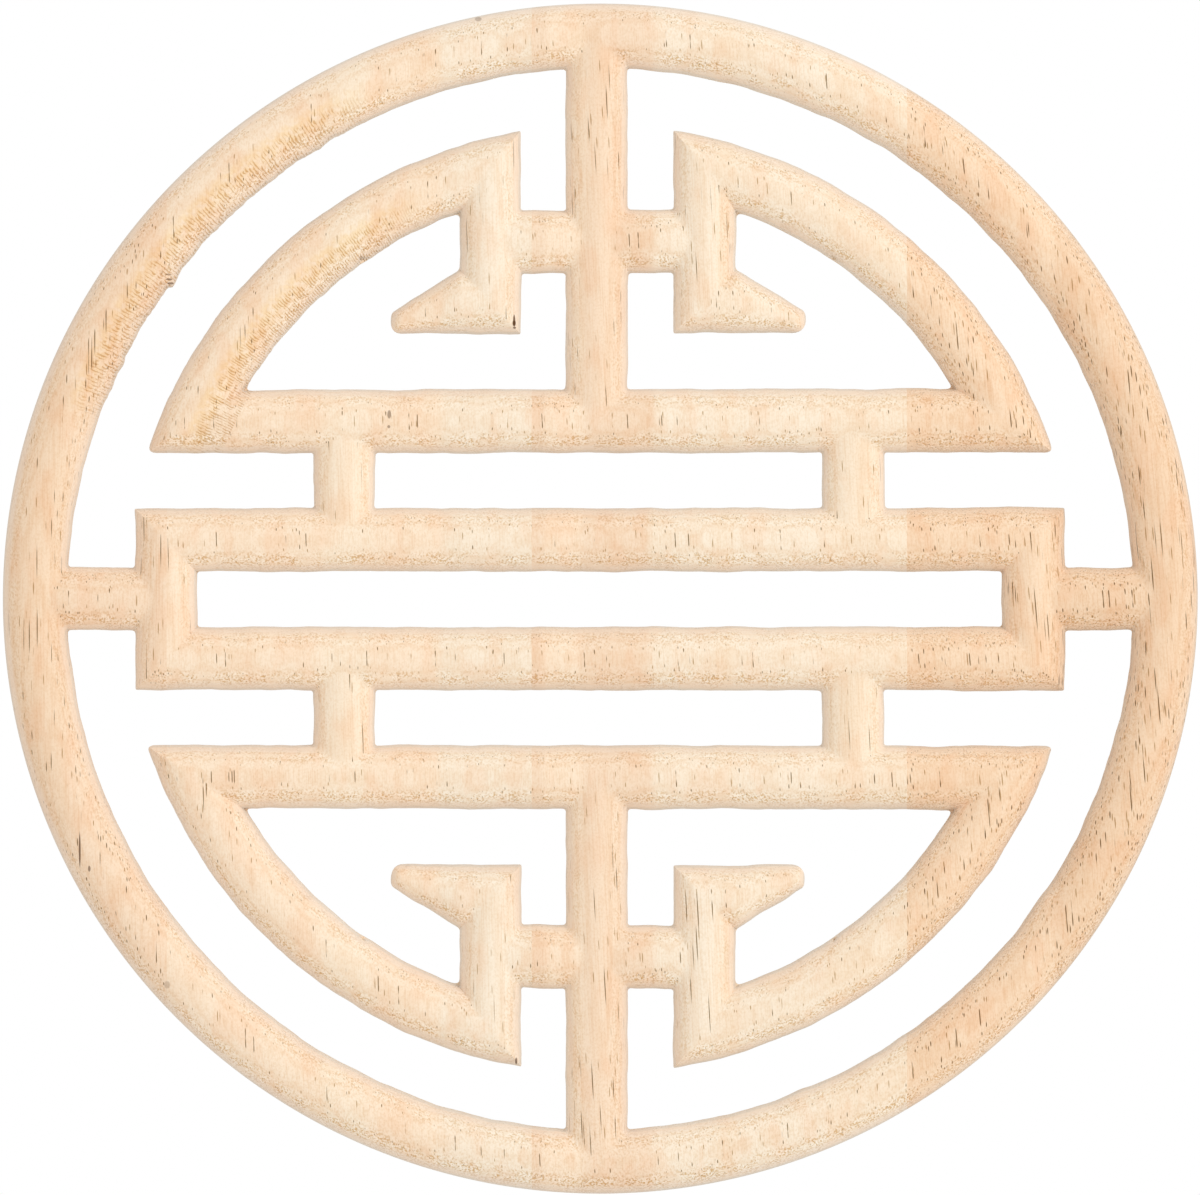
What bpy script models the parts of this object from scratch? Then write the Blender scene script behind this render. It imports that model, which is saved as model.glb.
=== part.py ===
"""Pierced round rosette, cut from one edge-glued panel of pale wood.

A plain ring holds a pattern of bars: two lunes whose arcs turn back into hooks, a long
rectangle between them, and the short links that tie everything together. Each bar has
straight walls and a rounded crown. The back is flat, so that it can be glued to a wall,
a door or a panel.

Metres, +Z up. The back lies in the plane y = 0 and the crowns face -Y. The origin is the
centre of the back.
"""

import math

import bmesh
import bpy
from mathutils import Matrix

# Overall sizes
RING_RADIUS = 0.150
BAR_WIDTH = 0.016
WALL_HEIGHT = 0.006
CROWN_RISE = 0.007

# Places of the bars, measured to their centre lines
BAR_PITCH = 0.030
LUNE_RADIUS = 0.1117
RECTANGLE_HALF_LENGTH = 0.1092
STRUT_X = 0.0640
HOOK_X = 0.0272
HOOK_LINK_Z = 0.0900

# The hook's tail, which narrows to a rounded tip
TAIL_EDGE_Z = 0.0668
TAIL_SLOPE = 0.545
TAIL_TIP_X = 0.0522
TAIL_TIP_REACH = 0.0036
TAIL_TIP_FADE = math.radians(78)

# The centre bar and the links stand a little lower than the bars they run into
CENTRE_BAR_DROP = 0.00015
LINK_DROP = 0.0003
LINK_INSET = 0.0001

# Facets
RING_SEGMENTS = 112
LUNE_ARC_STEP = math.radians(3)
TIP_STEPS = 4
CROWN_SEGMENTS = 8
SHARP_ANGLE = math.radians(40)
WELD_DISTANCE = 0.00001

HALF_WIDTH = BAR_WIDTH / 2
RING_CENTRE_RADIUS = RING_RADIUS - HALF_WIDTH
LUNE_BASE_Z = 1.5 * BAR_PITCH
LUNE_OUTER_RADIUS = LUNE_RADIUS + HALF_WIDTH
LUNE_INNER_RADIUS = LUNE_RADIUS - HALF_WIDTH
RECTANGLE_HALF_HEIGHT = 0.5 * BAR_PITCH

# The drawing is laid out flat and stood up: its height off the table becomes -Y
STAND_UP = Matrix(((1, 0, 0, 0), (0, 0, -1, 0), (0, 1, 0, 0), (0, 0, 0, 1)))

WOOD_COLOUR = (0.89, 0.68, 0.47, 1.0)
WOOD_ROUGHNESS = 0.72


def clear_scene():
    for item in list(bpy.data.objects):
        bpy.data.objects.remove(item, do_unlink=True)


def make_collection(name):
    collection = bpy.data.collections.new(name)
    bpy.context.scene.collection.children.link(collection)
    return collection


def wood_material():
    material = bpy.data.materials.new("raw_wood")
    material.use_nodes = True
    shader = material.node_tree.nodes["Principled BSDF"]
    shader.inputs["Base Color"].default_value = WOOD_COLOUR
    shader.inputs["Roughness"].default_value = WOOD_ROUGHNESS
    shader.inputs["Metallic"].default_value = 0.0
    material.diffuse_color = WOOD_COLOUR
    return material


def crown_height(share, rise):
    """Height of the crown above the walls, at a share of the way from middle to edge."""
    return rise * math.sqrt(max(0.0, 1.0 - share * share))


def section_points(half_width, rise):
    """Cross-section of a bar, as (across, height) pairs, anticlockwise from the back."""
    points = [(-half_width, 0.0), (half_width, 0.0)]
    for step in range(CROWN_SEGMENTS + 1):
        angle = math.pi * step / CROWN_SEGMENTS
        across = half_width * math.cos(angle)
        points.append((across, WALL_HEIGHT + crown_height(math.cos(angle), rise)))
    return points


def make_spline(curve, points, closed):
    spline = curve.splines.new("POLY")
    spline.points.add(len(points) - 1)
    for index, (first, second) in enumerate(points):
        spline.points[index].co = (first, second, 0.0, 1.0)
    spline.use_cyclic_u = closed


def make_section(name, half_width, rise, guides):
    curve = bpy.data.curves.new(name, "CURVE")
    curve.dimensions = "2D"
    curve.fill_mode = "NONE"
    make_spline(curve, section_points(half_width, rise), True)
    section = bpy.data.objects.new(name, curve)
    section.hide_render = True
    section.display_type = "WIRE"
    guides.objects.link(section)
    return section


def closed_mesh(mesh):
    """Weld the loose caps to the walls and turn every face outwards."""
    work = bmesh.new()
    work.from_mesh(mesh)
    bmesh.ops.remove_doubles(work, verts=work.verts, dist=WELD_DISTANCE)
    bmesh.ops.recalc_face_normals(work, faces=work.faces)
    work.to_mesh(mesh)
    work.free()


def make_rail(name, points, closed, section, collection):
    """Sweep the section along centre-line points given as (x, z) and return a mesh object."""
    curve = bpy.data.curves.new(name, "CURVE")
    curve.dimensions = "2D"
    curve.fill_mode = "NONE"
    curve.bevel_mode = "OBJECT"
    curve.bevel_object = section
    curve.use_fill_caps = not closed
    make_spline(curve, points, closed)
    path = bpy.data.objects.new(name + "_path", curve)
    collection.objects.link(path)
    bpy.context.view_layer.update()
    evaluated = path.evaluated_get(bpy.context.evaluated_depsgraph_get())
    mesh = bpy.data.meshes.new_from_object(evaluated)
    rail = bpy.data.objects.new(name, mesh)
    rail.matrix_world = path.matrix_world
    bpy.data.objects.remove(path, do_unlink=True)
    mesh.transform(STAND_UP)
    closed_mesh(mesh)
    collection.objects.link(rail)
    return rail


def ring_points():
    """Centre line of the ring, with its facets' middles on the true circle."""
    radius = RING_CENTRE_RADIUS / math.cos(math.pi / RING_SEGMENTS)
    points = []
    for step in range(RING_SEGMENTS):
        angle = 2 * math.pi * (step + 0.5) / RING_SEGMENTS
        points.append((radius * math.cos(angle), radius * math.sin(angle)))
    return points


def rectangle_points():
    length = RECTANGLE_HALF_LENGTH
    height = RECTANGLE_HALF_HEIGHT
    return [(-length, -height), (length, -height), (length, height), (-length, height)]


def on_circle(radius, angle):
    return (radius * math.cos(angle), radius * math.sin(angle))


def even_steps(first, last, largest):
    """Values from first to last in even steps no larger than the one given, ends included."""
    count = max(1, math.ceil(abs(last - first) / largest))
    return [first + (last - first) * index / count for index in range(count + 1)]


def tail_stations():
    """The hook's tail, from its tip to its root, as (inner edge, outer edge, half width)."""
    root_x = HOOK_X + HALF_WIDTH
    fade_x = TAIL_TIP_X - TAIL_TIP_REACH
    fade_half = HALF_WIDTH - TAIL_SLOPE * (fade_x - root_x) / 2
    fade_middle = TAIL_EDGE_Z + fade_half
    stations = []
    for angle in even_steps(TAIL_TIP_FADE, 0.0, TAIL_TIP_FADE / TIP_STEPS):
        x = fade_x + TAIL_TIP_REACH * math.sin(angle) / math.sin(TAIL_TIP_FADE)
        half = fade_half * math.cos(angle)
        stations.append(((x, fade_middle + half), (x, fade_middle - half), half))
    middle_x = (fade_x + root_x) / 2
    for x in (middle_x, root_x):
        half = HALF_WIDTH - TAIL_SLOPE * (x - root_x) / 2
        stations.append(((x, TAIL_EDGE_Z + 2 * half), (x, TAIL_EDGE_Z), half))
    return stations


def half_lune_stations():
    """Upper right half of a lune, from the hook's tip to the base, as in tail_stations."""
    near = HOOK_X - HALF_WIDTH
    far = HOOK_X + HALF_WIDTH
    base_inner = LUNE_BASE_Z + HALF_WIDTH
    base_outer = LUNE_BASE_Z - HALF_WIDTH
    foot = (far, TAIL_EDGE_Z + BAR_WIDTH)
    shoulder_angle = math.acos(far / LUNE_INNER_RADIUS)
    shoulder = on_circle(LUNE_INNER_RADIUS, shoulder_angle)
    crest_angle = math.acos(near / LUNE_OUTER_RADIUS)
    corner_angle = math.asin(base_inner / LUNE_INNER_RADIUS)
    corner = on_circle(LUNE_INNER_RADIUS, corner_angle)
    point_angle = math.asin(base_outer / LUNE_OUTER_RADIUS)

    edges = [(foot, (near, TAIL_EDGE_Z)), (foot, (near, foot[1]))]
    edges.append((shoulder, (near, shoulder[1])))
    for angle in even_steps(crest_angle, shoulder_angle, LUNE_ARC_STEP)[:-1]:
        edges.append((shoulder, on_circle(LUNE_OUTER_RADIUS, angle)))
    for angle in even_steps(shoulder_angle, corner_angle, LUNE_ARC_STEP):
        edges.append((on_circle(LUNE_INNER_RADIUS, angle), on_circle(LUNE_OUTER_RADIUS, angle)))
    for angle in even_steps(corner_angle, point_angle, LUNE_ARC_STEP)[1:]:
        edges.append((corner, on_circle(LUNE_OUTER_RADIUS, angle)))
    edges.append((corner, (corner[0], base_outer)))
    return tail_stations() + [(inner, outer, HALF_WIDTH) for inner, outer in edges]


def lune_loop(work, station):
    """One cross-section, stretched between the two edges of the bar."""
    (inner_x, inner_z), (outer_x, outer_z), half_width = station
    narrowing = max(0.0, 1.0 - half_width / HALF_WIDTH)
    rise = crown_height(narrowing, CROWN_RISE)
    loop = []
    for across, height in section_points(1.0, rise):
        share = (across + 1.0) / 2
        x = inner_x + (outer_x - inner_x) * share
        z = inner_z + (outer_z - inner_z) * share
        loop.append(work.verts.new((x, -height, z)))
    return loop


def make_lune(name, side, collection):
    """Loft a whole lune with both hooks; side is +1 above the middle and -1 below it."""
    right = half_lune_stations()
    left = [((-a, b), (-c, d), half) for (a, b), (c, d), half in reversed(right)]
    work = bmesh.new()
    loops = [lune_loop(work, station) for station in right + left]
    for first, second in zip(loops, loops[1:]):
        for index in range(len(first)):
            after = (index + 1) % len(first)
            work.faces.new((first[index], first[after], second[after], second[index]))
    work.faces.new(loops[0])
    work.faces.new(loops[-1])
    for vertex in work.verts:
        vertex.co.z *= side
    mesh = bpy.data.meshes.new(name)
    work.to_mesh(mesh)
    work.free()
    closed_mesh(mesh)
    lune = bpy.data.objects.new(name, mesh)
    collection.objects.link(lune)
    return lune


def make_pattern(guides, joined):
    """Make every bar inside the ring, in the collection that the ring is joined with."""
    width = HALF_WIDTH - LINK_INSET
    bar_section = make_section("bar_section", HALF_WIDTH, CROWN_RISE, guides)
    centre_section = make_section("centre_section", width, CROWN_RISE - CENTRE_BAR_DROP, guides)
    link_section = make_section("link_section", width, CROWN_RISE - LINK_DROP, guides)
    make_rail("rectangle", rectangle_points(), True, bar_section, joined)
    for side, place in ((1, "upper"), (-1, "lower")):
        make_lune(place + "_lune", side, joined)
        centre_bar = [(0.0, LUNE_BASE_Z * side), (0.0, RING_CENTRE_RADIUS * side)]
        make_rail(place + "_centre_bar", centre_bar, False, centre_section, joined)
        hook_link = [(-HOOK_X, HOOK_LINK_Z * side), (HOOK_X, HOOK_LINK_Z * side)]
        make_rail(place + "_hook_link", hook_link, False, link_section, joined)
        for x, hand in ((-STRUT_X, "left"), (STRUT_X, "right")):
            strut = [(x, RECTANGLE_HALF_HEIGHT * side), (x, LUNE_BASE_Z * side)]
            make_rail(place + "_" + hand + "_strut", strut, False, link_section, joined)
    for turn, hand in ((-1, "left"), (1, "right")):
        ring_link = [(RECTANGLE_HALF_LENGTH * turn, 0.0), (RING_CENTRE_RADIUS * turn, 0.0)]
        make_rail(hand + "_ring_link", ring_link, False, link_section, joined)


def make_rosette():
    parts = make_collection("carved_rosette")
    joined = make_collection("bars_to_join")
    guides = make_collection("sections")
    ring_section = make_section("ring_section", HALF_WIDTH, CROWN_RISE, guides)
    rosette = make_rail("rosette", ring_points(), True, ring_section, parts)
    make_pattern(guides, joined)
    union = rosette.modifiers.new("join_the_pattern", "BOOLEAN")
    union.operation = "UNION"
    union.operand_type = "COLLECTION"
    union.collection = joined
    union.solver = "EXACT"
    material = wood_material()
    for piece in [rosette] + list(joined.objects):
        piece.data.materials.clear()
        piece.data.materials.append(material)
        piece.data.shade_smooth()
        piece.data.set_sharp_from_angle(angle=SHARP_ANGLE)
    for bar in joined.objects:
        bar.hide_render = True
        bar.display_type = "WIRE"


clear_scene()
make_rosette()
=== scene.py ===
"""Dresses the carved rosette: one pierced panel of raw, edge-glued pale wood.

The rosette is drawn as a flat plan of one quarter, mirrored to the whole, and then raised
by a node tree that carves the rounded crowns. The wood's finish is a solid pattern that
runs through the panel along its grain, so lines on the crowns turn to dots on the ends;
it also holds painted light on the steep flanks and painted shade on the brinks and undersides.
"""

import math

import bmesh
import bpy
import numpy as np
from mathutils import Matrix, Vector
from mathutils.kdtree import KDTree
from mathutils.geometry import delaunay_2d_cdt


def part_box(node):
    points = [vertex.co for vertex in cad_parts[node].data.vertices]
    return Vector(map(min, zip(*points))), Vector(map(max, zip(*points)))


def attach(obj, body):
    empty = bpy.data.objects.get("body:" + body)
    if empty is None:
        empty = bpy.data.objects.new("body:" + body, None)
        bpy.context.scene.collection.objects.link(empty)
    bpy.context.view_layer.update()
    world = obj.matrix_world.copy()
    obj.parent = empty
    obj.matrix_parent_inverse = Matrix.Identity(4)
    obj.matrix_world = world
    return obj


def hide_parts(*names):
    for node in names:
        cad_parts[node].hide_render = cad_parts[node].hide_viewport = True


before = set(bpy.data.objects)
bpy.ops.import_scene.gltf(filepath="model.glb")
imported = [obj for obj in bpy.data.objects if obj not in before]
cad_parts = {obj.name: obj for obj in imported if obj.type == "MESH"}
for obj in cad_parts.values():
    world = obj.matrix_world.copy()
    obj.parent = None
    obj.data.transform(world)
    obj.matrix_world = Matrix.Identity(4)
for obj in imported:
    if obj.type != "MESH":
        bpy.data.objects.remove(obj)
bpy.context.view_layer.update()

MM = 0.001
LOWEST_CORNER, HIGHEST_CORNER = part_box("rosette")

# Sizes of the carving, in metres
RING_RADIUS = HIGHEST_CORNER[0]
BAR_WIDTH = 15.97 * MM
POST_WIDTH = 15.52 * MM
LINK_WIDTH = 15.85 * MM
WALL_HEIGHT = 6 * MM
FRONT_CLEARANCE = 0.2 * MM
CROWN_RISE = -LOWEST_CORNER[1] - WALL_HEIGHT - FRONT_CLEARANCE
BAR_PITCH = 29.95 * MM
LUNE_RADIUS = 111.6 * MM
RECTANGLE_HALF_LENGTH = 108.95 * MM
STRUT_X = 63.9 * MM
HOOK_X = 26.9 * MM
HOOK_LINK_Z = 90.2 * MM
TAIL_EDGE_Z = 67.05 * MM
TAIL_SLOPE = 0.61
TAIL_TIP_X = 52.0 * MM
TAIL_TIP_REACH = 2.6 * MM
TAIL_TIP_LEAN = 0.3 * MM
CENTRE_BAR_DROP = 0.15 * MM
LINK_DROP = 0.85 * MM
VALLEY_SOFTNESS = 0.4 * MM

# How the outline is rounded where the cutter turned
INSIDE_CORNER = 0.9 * MM
OUTSIDE_CORNER = 0.5 * MM
POINT_BLUNTING = 2.0 * MM
ARC_TRIM = 1.2 * POINT_BLUNTING
SLIGHTEST_CORNER = 0.3
ACUTE_CORNER = -0.2
CORNER_STEPS = 5
TIP_ROUNDING = 3.0 * MM
TIP_CORNER = 1.3 * MM
TIP_STEPS = 6

# Small forms of the carving
NOSE = 7.5 * MM
UPPER_PART_Z = 60 * MM
TAIL_TOP_Z = 86 * MM
TAIL_FLATTENING = 0.6
SLIMMEST_TAIL = 0.3 * MM
SHARP_ANGLE = math.radians(50)

# The unevenness of the real cut, and the stretches over which each kind of it comes and goes
OUTLINE_WANDER = 1.1 * MM
OUTLINE_WAVE = 9 * MM
CENTRE_DRIFT = 0.95 * MM
PATTERN_SINK = 0.13 * MM
FAN = 0.04
TORN_EDGE = 1.2 * MM
TORN_WAVE = 4.5 * MM
BURR = 0.7 * MM
BURR_FOOT = math.radians(35.8)
BURR_PEAK = math.radians(36.15)
BURR_END = math.radians(38.6)
FRAY = 0.4
FRAY_WAVE = 1.1 * MM
TEAR_START = (math.radians(17), math.radians(24))
TEAR_END = (math.radians(68), math.radians(58))
TEAR_DEPTH = 3 * MM
ARC_TEAR_SHARE = 0.6
POST_ZONE = (25 * MM, 12 * MM)
DRIFT_POWER = 1.5
HEIGHT_SQUEEZE = 0.996
CARVING_SEED = 7

# The wood's tones, from pale to warm
CREAM = (0.905, 0.775, 0.615)
STRAW = (0.9, 0.752, 0.58)
CHAFF = (0.925, 0.775, 0.6)
BISCUIT = (0.925, 0.75, 0.57)
BLUSH = (0.875, 0.682, 0.505)
BUFF = (0.9, 0.695, 0.51)
HONEY = (0.875, 0.662, 0.47)
AMBER = (0.828, 0.61, 0.422)
# Painted light: the paler tone that the faces turned away from the front are lifted towards
EDGE_LIGHT_TONE = (0.89, 0.737, 0.605)

# How far a face turns away where each look sets in: 0 is the front, and 1 a wall
EDGE_LIGHT_TURN = (0.24, 0.42)
BRINK_TURN = (0.52, 0.7)
WALL_TURN = (0.8, 0.97)
END_GRAIN_TURN = (0.22, 0.55)
SIDE_GRAIN_TURN = (0.3, 0.6)
# Painted shade: where faces turn down, the speckle is made stronger and darker
UNDERSIDE_SHADE_TURN = (0.1, 0.5)

# How each mark in the wood, and the painted shade on the brinks and undersides, changes the red, green and
# blue of the tone under it
FIGURE_TINT = (0.93, 0.86, 0.78)
ROSY_TINT = (0.99, 0.93, 0.89)
FIBRE_TINT = (0.92, 0.84, 0.76)
# Dark fibre ends, made stronger as painted shade on the undersides and at the bottom
SPOT_AND_SHADE_TINT = (0.83, 0.71, 0.54)
GAP_TINT = (1.07, 1.12, 1.19)
GROWTH_TINT = (0.975, 0.94, 0.905)
LONG_PORE_TINT = (0.24, 0.18, 0.09)
SHORT_PORE_TINT = (0.55, 0.45, 0.3)
# Painted shade: greys and darkens the steepest faces next to the walls
BRINK_SHADE_TINT = (0.9, 0.95, 1.0)
BURNISH_TINT = (0.985, 0.92, 0.78)
RIB_TINT = (0.78, 0.66, 0.5)
VOID_TINT = (0.13, 0.07, 0.03)

# The marks' sizes in mm, across the grain and along it; a pore's radius is a share of that size
FIGURE_SIZE = (9, 120)
FIBRE_SIZE = (0.28, 15)
STREAK_SIZE = (2.0, 70)
LONG_PORE_SIZE = (0.72, 26)
LONG_PORE_RADIUS = 0.14
SHORT_PORE_SIZE = (0.6, 7)
SHORT_PORE_RADIUS = 0.18

# The sizes in mm of the marks that don't follow the grain: across, through and up
ROSY_SIZE = (6, 6, 14)
GRIT_SIZE = (0.5, 0.36, 0.62)
PATCH_SIZE = (5, 5, 3)
RIB_SCATTER_SIZE = (1.6, 1.6, 1.6)

# Where the staves are glued, and the bands of tone in them: left edge in mm, tone, share of pores
SEAMS = (-108.7, -17.2, 76.9)
FIRST_TONE, FIRST_PORES = HONEY, 0.35
BANDS = (
    (-134.0, BUFF, 0.45),
    (SEAMS[0], BISCUIT, 0.28),
    (-70.0, CHAFF, 0.25),
    (-58.0, BISCUIT, 0.3),
    (-40.0, CREAM, 0.3),
    (SEAMS[1], BLUSH, 0.4),
    (-14.0, BISCUIT, 0.4),
    (-4.5, BLUSH, 0.35),
    (13.0, CREAM, 0.4),
    (29.0, STRAW, 0.4),
    (34.0, CREAM, 0.35),
    (57.0, STRAW, 0.3),
    (SEAMS[2], HONEY, 0.62),
    (114.0, AMBER, 0.72),
)
STAVE_SHIFT = 17.3
PORE_WIDENING = 0.1
GRAIN_LEAN = 0.028
GROWTH_DEPTH = 1.3
GROWTH_SWAY = 2.5
BAND_WANDER = 5.0
BAND_WANDER_SIZE = (100, 50, 90)
BAND_SOFTNESS = 1.5
SEAM_SOFTNESS = 0.05
# Painted shade: the speckle grows towards the bottom of the rosette, between these heights in mm
BOTTOM_SHADE_Z = (-105, -130)
FACING_FRONT = 0.1
WOOD_ROUGHNESS = 0.72
WOOD_GLOSS = 0.25
BUMP_STRENGTH = 0.6
BUMP_DISTANCE = 0.15 * MM
FIBRE_HEIGHT, RIB_HEIGHT, SPOT_HEIGHT = -0.25, -0.8, -0.5

# The cutter's marks along the torn edges, in mm from the edge: ribs across it and a burnished band
RIB_SPACING = 0.84
RIB_SCATTER = 9
RIB_REACH = (7.5, 5.0)
BURNISH_START = (2.5, 4.5)
BURNISH_END = (9.5, 7.0)

# Small dark places on the face: across and up from the centre, half width, half length, depth of tone
VOIDS = (
    # The void in the end of the upper left hook
    (-21.6, 69.7, 0.28, 1.6, 0.9),
    (-21.6, 69.1, 0.42, 0.85, 1.0),
    (-21.5, 67.95, 0.42, 0.26, 0.8),
    # The one in the end of the lower left hook, and a faint knot at the top of the ring
    (-21.1, -116.0, 0.3, 0.9, 0.8),
    (-30.6, 145.4, 0.9, 0.6, 0.4),
    # The long split on the ring's lower left, with a short one beside it
    (-130.5, -63.0, 0.26, 4.5, 0.85),
    (-128.1, -67.7, 0.35, 0.8, 0.7),
    # Two in the upper long bar
    (-52.9, 46.2, 0.5, 1.1, 0.6),
    (-53.0, 43.1, 0.4, 0.4, 0.6),
    # A faint knot low on the left of the ring, and the dark ribs at the burr's foot
    (-108.6, -96.8, 0.8, 1.0, 0.3),
    (-108.3, 81.3, 0.8, 0.25, 0.5),
    (-108.2, 80.1, 0.9, 0.25, 0.7),
    (-107.9, 79.1, 0.8, 0.3, 0.75),
)

# The photograph's view and its light
CAMERA_DISTANCE = 4.0
FRAME_WIDTH = 301.75 * MM
CAMERA_X = -0.07 * MM
CAMERA_Z = 0.28 * MM
ROOM_LIGHT = 0.86
KEY_PLACE = (0.97, -1.05, 0.46)
KEY_SIZE = 0.6
KEY_POWER = 7.1
FILL_PLACE = (0.0, -1.6, 0.1)
FILL_SIZE = 1.2
FILL_POWER = 0.5
FLOOR_SIZE = 1.8
FLOOR_Z = -0.6
FLOOR_TONE = (0.86, 0.85, 0.83)
FLOOR_ROUGHNESS = 0.8

# Spacing of the drawing's points
POINT_STEP = 1.25 * MM
TORN_STEP = 0.55 * MM
FILLER_STEP = 0.95 * MM
FILLER_GAP = 0.62 * FILLER_STEP
FILLER_DEPTH = 0.2 * BAR_WIDTH
RIDGE_GAP = 0.4 * MM
ROW_GAP = 0.04 * MM
ROW_GAP_GROWTH = 0.05
CROWN_ROWS = 12
WALL_ROWS = 2
WELD = 0.001 * MM

HALF_WIDTH = BAR_WIDTH / 2
HALF_POST = POST_WIDTH / 2
HALF_LINK = LINK_WIDTH / 2
FIRST_ROW = HALF_WIDTH * (1 - math.cos(math.pi / 2 / CROWN_ROWS))
RING_INNER = RING_RADIUS - BAR_WIDTH
RING_CENTRE = RING_RADIUS - HALF_WIDTH
LUNE_OUTER = LUNE_RADIUS + HALF_WIDTH
LUNE_INNER = LUNE_RADIUS - HALF_WIDTH
BASE_Z = 1.5 * BAR_PITCH
RECTANGLE_Z = 0.5 * BAR_PITCH
RING_ZONE = (RING_RADIUS - 3 * MM, RING_INNER + 2 * MM)
PATTERN_ZONE = (RING_INNER - 1 * MM, RING_INNER - 12 * MM)


# The outline of one quarter

def on_circle(radius, angle):
    """The point at an angle from the right, on a circle about the centre."""
    return (radius * math.cos(angle), radius * math.sin(angle))


def arc(radius, first, last, trimmed=True, step=POINT_STEP):
    """Points along an arc about the centre, kept clear of the corners at its ends."""
    keep_off = ARC_TRIM / radius if trimmed else 0.0
    turn = math.copysign(1.0, last - first)
    first, last = first + turn * keep_off, last - turn * keep_off
    count = math.ceil(abs(last - first) * radius / step)
    return [on_circle(radius, first + (last - first) * i / count) for i in range(count + 1)]


def quarter_outlines(torn):
    """The quarter's rim and its two closed openings, each with the wood on its left."""
    step = TORN_STEP if torn else POINT_STEP
    slot, strut = STRUT_X - HALF_POST, STRUT_X + HALF_POST
    base_low, base_high = BASE_Z - HALF_WIDTH, BASE_Z + HALF_WIDTH
    bar_low, bar_high = RECTANGLE_Z - HALF_WIDTH, RECTANGLE_Z + HALF_WIDTH
    end_in, end_out = RECTANGLE_HALF_LENGTH - HALF_POST, RECTANGLE_HALF_LENGTH + HALF_POST
    near, far = HOOK_X - HALF_POST, HOOK_X + HALF_POST
    link_low, link_high = HOOK_LINK_Z - HALF_LINK, HOOK_LINK_Z + HALF_LINK

    rim = arc(RING_RADIUS, 0.0, math.pi / 2, False)
    rim += [(0, base_low), (slot, base_low), (slot, bar_high), (0, bar_high)]
    rim += [(0, bar_low), (end_in, bar_low), (end_in, 0)]

    top, side = math.acos(HALF_POST / RING_INNER), math.asin(HALF_LINK / RING_INNER)
    point, crest = math.asin(base_low / LUNE_OUTER), math.acos(near / LUNE_OUTER)
    band = [on_circle(RING_INNER, top)] + arc(RING_INNER, top, side, True, step)
    band += [on_circle(RING_INNER, side), (end_out, HALF_LINK), (end_out, bar_high)]
    band += [(strut, bar_high), (strut, base_low)]
    band += [on_circle(LUNE_OUTER, point)] + arc(LUNE_OUTER, point, crest)
    band += [on_circle(LUNE_OUTER, crest), (near, link_high), (HALF_POST, link_high)]

    shoulder, low = math.acos(far / LUNE_INNER), math.asin(base_high / LUNE_INNER)
    chamber = [(HALF_POST, base_high), (HALF_POST, link_low), (near, link_low), (near, TAIL_EDGE_Z)]
    chamber += tail_tip() + [(far, TAIL_EDGE_Z + BAR_WIDTH), on_circle(LUNE_INNER, shoulder)]
    chamber += arc(LUNE_INNER, shoulder, low, True, step) + [on_circle(LUNE_INNER, low)]
    return [rim, band, chamber]


def tail_tip():
    """The blunt end of the hook's tail, from its level edge round to its sloping edge."""
    high = TAIL_EDGE_Z + BAR_WIDTH - TAIL_SLOPE * (TAIL_TIP_X - HOOK_X - HALF_POST)
    level, slope = Vector((-1, 0)), Vector((-1, TAIL_SLOPE)).normalized()
    points = []
    for corner, before, after, reach in (
        (Vector((TAIL_TIP_X - TAIL_TIP_LEAN, TAIL_EDGE_Z)), level, Vector((0.1, 1)), TIP_ROUNDING),
        (Vector((TAIL_TIP_X, high)), Vector((0, -1)), slope, TIP_CORNER),
    ):
        start, end = corner + before * reach, corner + after * reach
        for step in range(TIP_STEPS + 1):
            s = step / TIP_STEPS
            points.append(tuple(start * (1 - s) ** 2 + corner * (2 * s * (1 - s)) + end * s ** 2))
    return points


def on_cut(a, b):
    """True for an edge along one of the two lines on which the quarter is mirrored."""
    return (abs(a[0]) < WELD and abs(b[0]) < WELD) or (abs(a[1]) < WELD and abs(b[1]) < WELD)


def rounded(points):
    """Rounds each sharp corner, more where the cutter turned inside an opening."""
    result = []
    for i, point in enumerate(points):
        before, here, after = Vector(points[i - 1]), Vector(point), Vector(points[(i + 1) % len(points)])
        into, out = (here - before).normalized(), (after - here).normalized()
        turn = into.cross(out)
        if abs(turn) < SLIGHTEST_CORNER or min(abs(here.x), abs(here.y)) < WELD:
            result.append(tuple(here))
            continue
        reach = INSIDE_CORNER if turn < 0 else OUTSIDE_CORNER
        if into.dot(out) < ACUTE_CORNER:
            reach = POINT_BLUNTING
        start, end = here - into * reach, here + out * reach
        for step in range(CORNER_STEPS + 1):
            s = step / CORNER_STEPS
            result.append(tuple(start * (1 - s) ** 2 + here * (2 * s * (1 - s)) + end * s ** 2))
    return result


def steps_between(a, b):
    """How many steps the drawing takes from one point to the next."""
    return max(1, math.ceil(math.dist(a, b) / POINT_STEP - 0.001))


def spaced(points):
    """Adds points along the straight edges, so that none is longer than the step."""
    result = []
    for i, a in enumerate(points):
        b = points[(i + 1) % len(points)]
        count = 1 if on_cut(a, b) else steps_between(a, b)
        for step in range(count):
            s = step / count
            result.append((a[0] + (b[0] - a[0]) * s, a[1] + (b[1] - a[1]) * s))
    result = np.array(result)
    result[np.abs(result) < WELD] = 0.0
    return result


# The rows of points that follow the edges, and the ridges between them

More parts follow.
